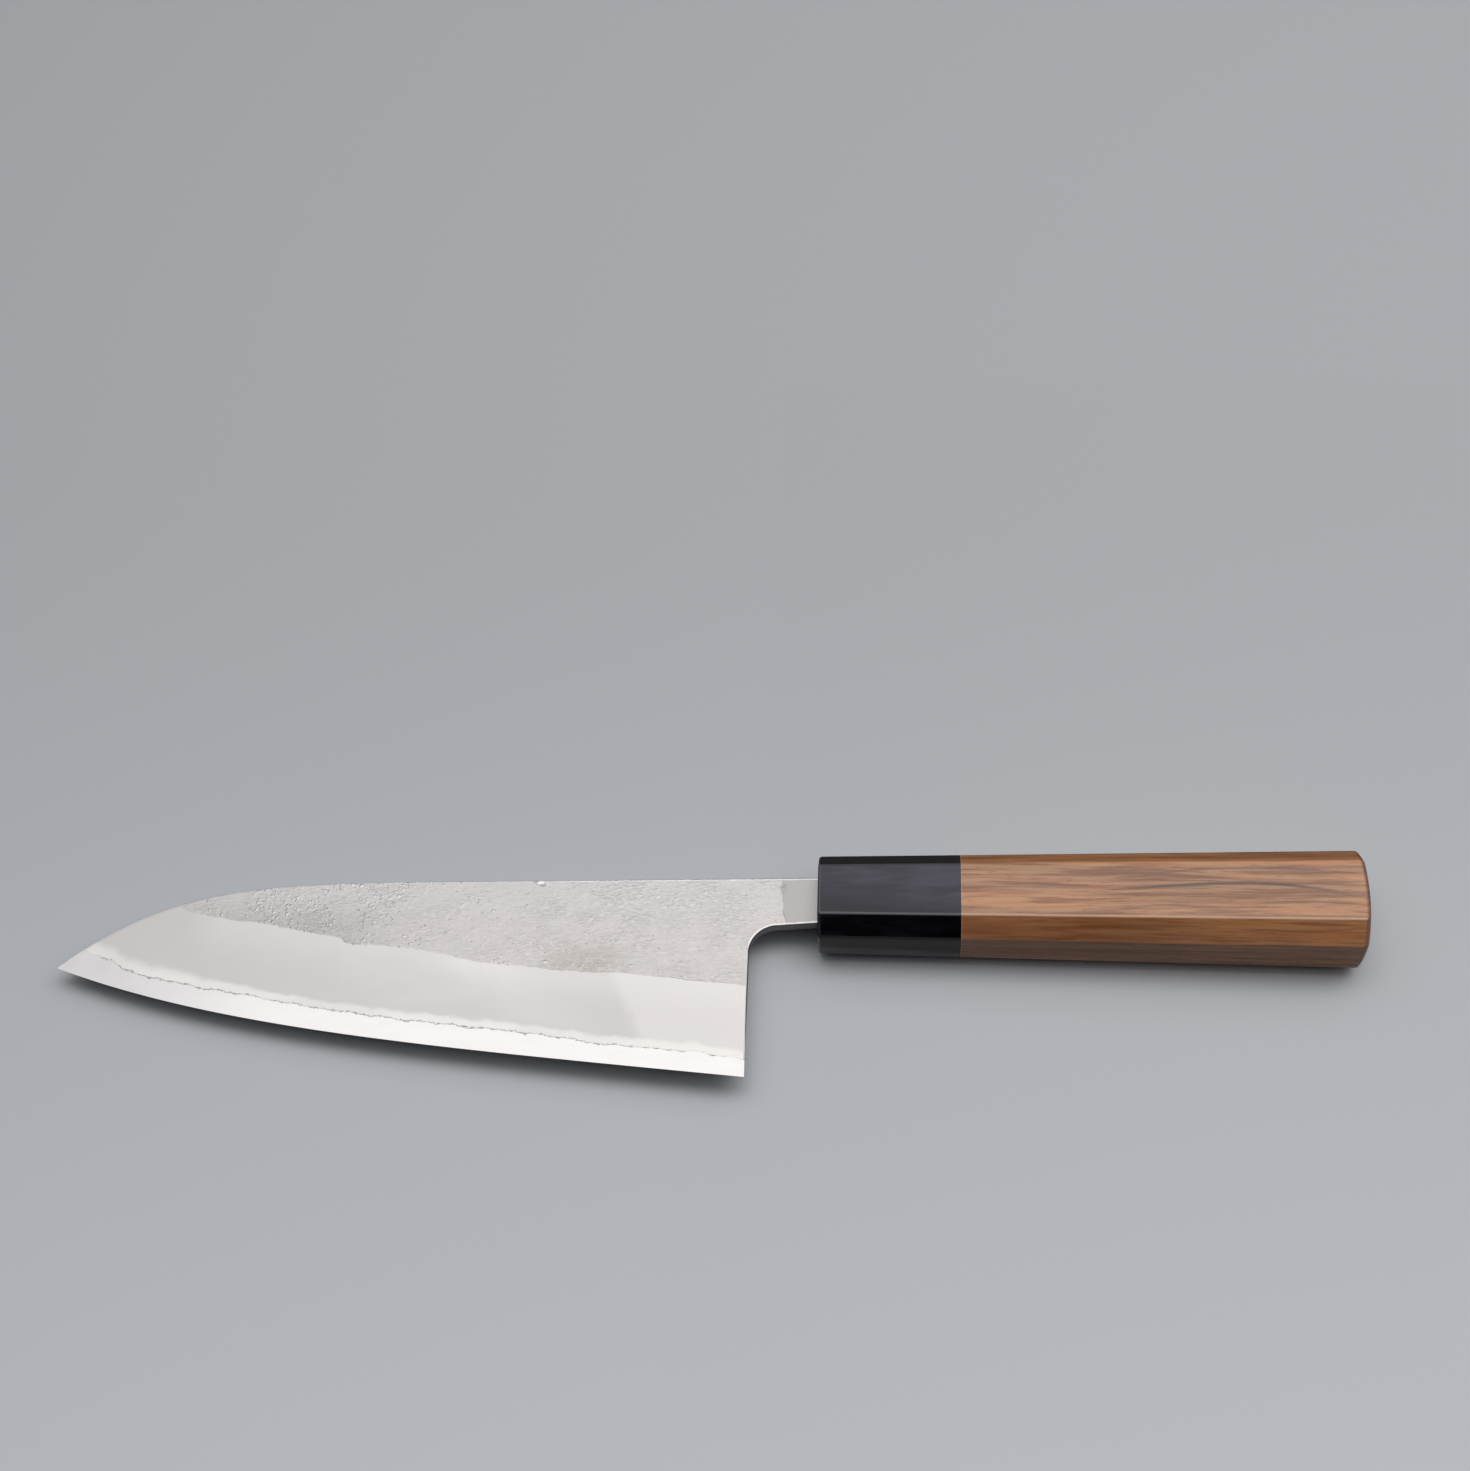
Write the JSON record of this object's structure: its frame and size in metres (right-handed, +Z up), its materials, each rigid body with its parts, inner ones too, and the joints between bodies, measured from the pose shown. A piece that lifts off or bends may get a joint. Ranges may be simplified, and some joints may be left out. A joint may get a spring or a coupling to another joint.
{
  "type": "santoku knife",
  "caption": "Santoku kitchen knife: tall laminated steel blade with a curved nose, short neck, black ferrule and tapered octagonal wooden handle, lying on a flat of the handle.",
  "frame": {"origin": "on the surface the knife lies on, at the middle of the wooden handle's lower flat", "axes": "+X along the handle from the blade's tip to the butt, +Y from the cutting edge to the spine, +Z up, out of the blade's left face"},
  "size_m": [0.3157, 0.0567, 0.0221],
  "materials": {
    "core_steel": "polished",
    "cladding_steel": "satin",
    "ferrule_black": "gloss",
    "handle_wood": "satin",
    "dowel_wood": "matte",
    "adhesive": "satin"
  },
  "bodies": {
    "root": {"blade_core": "core_steel", "blade_cladding_left": "cladding_steel", "blade_cladding_right": "cladding_steel", "ferrule": "ferrule_black", "handle_body": "handle_wood", "handle_dowel": "dowel_wood", "tang_adhesive": "adhesive"}
  },
  "joints": []
}
